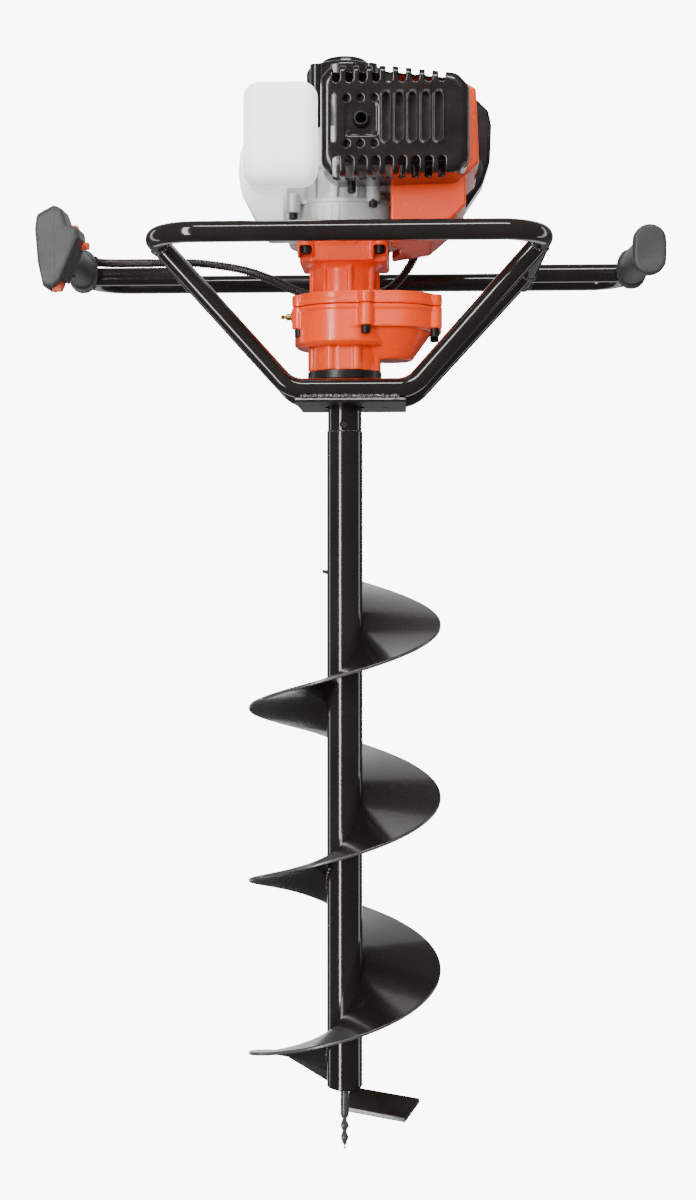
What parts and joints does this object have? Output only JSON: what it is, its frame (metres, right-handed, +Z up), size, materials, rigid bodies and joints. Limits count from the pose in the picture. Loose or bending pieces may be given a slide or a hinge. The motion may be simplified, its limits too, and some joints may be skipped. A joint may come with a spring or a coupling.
{
  "type": "earth auger",
  "caption": "One-man petrol earth auger: engine and gearbox in a tubular carrying frame with two side grips, driving a long screw bit with cutters and a pilot point.",
  "frame": {"origin": "on the drive axis at the height of the handlebar's centre line", "axes": "+Z up along the drive axis, +X to the right seen from the muffler side, +Y away from that side, towards the long handlebar"},
  "size_m": [0.6382, 0.3238, 1.132],
  "materials": {
    "black_gloss_paint": "gloss",
    "orange_gloss_paint": "gloss",
    "dark_grey_rubber": "matte",
    "black_plastic": "satin",
    "orange_red_plastic": "matte",
    "cast_aluminium": "cast",
    "bright_steel": "machined",
    "hot_black_steel": "matte",
    "brass": "satin",
    "translucent_plastic": "translucent",
    "white_ceramic": "glazed",
    "clutch_lining": "matte"
  },
  "bodies": {
    "frame": {"air_filter_base": "black_plastic", "air_filter_cover": "black_plastic", "brace_left": "black_gloss_paint", "brace_right": "black_gloss_paint", "carburettor": "cast_aluminium", "crankcase": "cast_aluminium", "cylinder": "cast_aluminium", "cylinder_shroud": "orange_gloss_paint", "fan_housing": "cast_aluminium", "front_leg_tube": "black_gloss_paint", "fuel_tank": "translucent_plastic", "gearbox_base_ring": "black_plastic", "gearbox_lower_case": "orange_gloss_paint", "gearbox_upper_case": "orange_gloss_paint", "grease_nipple": "brass", "handle_ring": "black_gloss_paint", "handlebar": "black_gloss_paint", "input_bearing": "bright_steel", "layshaft_bearing_lower": "bright_steel", "layshaft_bearing_upper": "bright_steel", "mounting_plate": "black_gloss_paint", "muffler": "hot_black_steel", "muffler_guard": "black_plastic", "output_bearing": "bright_steel", "output_seal": "dark_grey_rubber", "rear_leg_tube": "black_gloss_paint", "right_grip": "dark_grey_rubber", "spark_plug": "white_ceramic", "spark_plug_boot": "dark_grey_rubber", "starter_cover": "black_plastic", "throttle_cable": "black_plastic", "throttle_handle_inner_shell": "dark_grey_rubber", "throttle_handle_outer_shell": "dark_grey_rubber"},
    "auger": {"output_shaft": "bright_steel", "output_gear": "bright_steel", "drive_socket": "black_gloss_paint", "coupling_pin": "bright_steel", "auger_tube": "black_gloss_paint", "auger_flight": "black_gloss_paint", "flight_cutter": "black_gloss_paint", "cutting_blade": "black_gloss_paint", "pilot_point": "bright_steel"},
    "layshaft": {"layshaft_pinion": "bright_steel", "layshaft_gear": "bright_steel"},
    "clutch_output": {"input_pinion": "bright_steel", "clutch_drum": "bright_steel"},
    "crank": {"crankshaft": "bright_steel", "flywheel": "cast_aluminium"},
    "front_shoe": {"clutch_shoe_front": "clutch_lining"},
    "rear_shoe": {"clutch_shoe_rear": "clutch_lining"},
    "trigger": {"throttle_trigger": "orange_red_plastic"},
    "interlock": {"throttle_interlock": "black_plastic"},
    "switch": {"stop_switch": "orange_red_plastic"},
    "lock_button": {"throttle_lock_button": "orange_red_plastic"},
    "filler_cap": {"fuel_cap": "black_plastic"},
    "pulley": {"starter_pulley": "black_plastic"},
    "pull_handle": {"starter_handle": "black_plastic"},
    "carb_lever": {"throttle_lever": "bright_steel"},
    "choke": {"choke_lever": "black_plastic"},
    "primer": {"primer_bulb": "dark_grey_rubber"}
  },
  "joints": [
    {"name": "auger_spin", "type": "hinge", "parent": "frame", "child": "auger", "pos_m": [0, 0, -0.155], "axis": [0, 0, 1], "continuous": true},
    {"name": "layshaft_spin", "type": "hinge", "parent": "frame", "child": "layshaft", "pos_m": [0.048, 0, -0.054], "axis": [0, 0, 1], "continuous": true},
    {"name": "clutch_output_spin", "type": "hinge", "parent": "frame", "child": "clutch_output", "pos_m": [0, 0, -0.054], "axis": [0, 0, 1], "continuous": true},
    {"name": "crank_spin", "type": "hinge", "parent": "frame", "child": "crank", "pos_m": [0, 0, 0.019], "axis": [0, 0, 1], "continuous": true},
    {"name": "front_shoe_slide", "type": "slide", "parent": "crank", "child": "front_shoe", "axis": [0, -1, 0], "range_m": [0, 0.0009], "stiffness_N_per_m": 4000, "springref_m": -0.001},
    {"name": "rear_shoe_slide", "type": "slide", "parent": "crank", "child": "rear_shoe", "axis": [0, 1, 0], "range_m": [0, 0.0009], "stiffness_N_per_m": 4000, "springref_m": -0.001},
    {"name": "trigger_squeeze", "type": "hinge", "parent": "frame", "child": "trigger", "pos_m": [-0.292, -0.036, -0.0185], "axis": [1, 0, 0], "range_deg": [0, 14], "stiffness_Nm_per_rad": 0.15, "springref_deg": -8.59},
    {"name": "carb_lever_turn", "type": "hinge", "parent": "frame", "child": "carb_lever", "pos_m": [0.083, 0.079, 0.092], "axis": [1, 0, 0], "range_deg": [0, 50.4]},
    {"name": "interlock_press", "type": "hinge", "parent": "frame", "child": "interlock", "pos_m": [-0.292, 0.046, 0.0158], "axis": [1, 0, 0], "range_deg": [0, 7], "stiffness_Nm_per_rad": 0.12, "springref_deg": -8.59},
    {"name": "stop_switch_slide", "type": "slide", "parent": "frame", "child": "switch", "axis": [0, 1, 0], "range_m": [0, 0.006]},
    {"name": "lock_button_press", "type": "slide", "parent": "frame", "child": "lock_button", "axis": [-1, 0, 0], "range_m": [0, 0.003], "stiffness_N_per_m": 300, "springref_m": -0.002},
    {"name": "fuel_cap_turn", "type": "hinge", "parent": "frame", "child": "filler_cap", "pos_m": [-0.066, 0.024, 0.166], "axis": [0, 0, 1], "range_deg": [0, 300]},
    {"name": "pulley_spin", "type": "hinge", "parent": "frame", "child": "pulley", "pos_m": [0, 0, 0.15], "axis": [0, 0, 1], "range_deg": [0, 1400], "stiffness_Nm_per_rad": 0.02, "springref_deg": -114.59},
    {"name": "pull_handle_draw", "type": "slide", "parent": "frame", "child": "pull_handle", "axis": [0, 1, 0], "range_m": [0, 0.445]},
    {"name": "choke_turn", "type": "hinge", "parent": "frame", "child": "choke", "pos_m": [0.122, 0.099, 0.085], "axis": [0, -1, 0], "range_deg": [0, 75]},
    {"name": "primer_press", "type": "slide", "parent": "frame", "child": "primer", "axis": [1, 0, 0], "range_m": [0, 0.0025], "stiffness_N_per_m": 500, "springref_m": -0.001}
  ],
  "couplings": [
    {"joint": "layshaft_spin", "follows": "auger_spin", "ratio": -3.8},
    {"joint": "clutch_output_spin", "follows": "auger_spin", "ratio": 20.52},
    {"joint": "carb_lever_turn", "follows": "trigger_squeeze", "ratio": 3.6},
    {"joint": "pull_handle_draw", "follows": "pulley_spin", "m_per_rad": 0.0182}
  ]
}
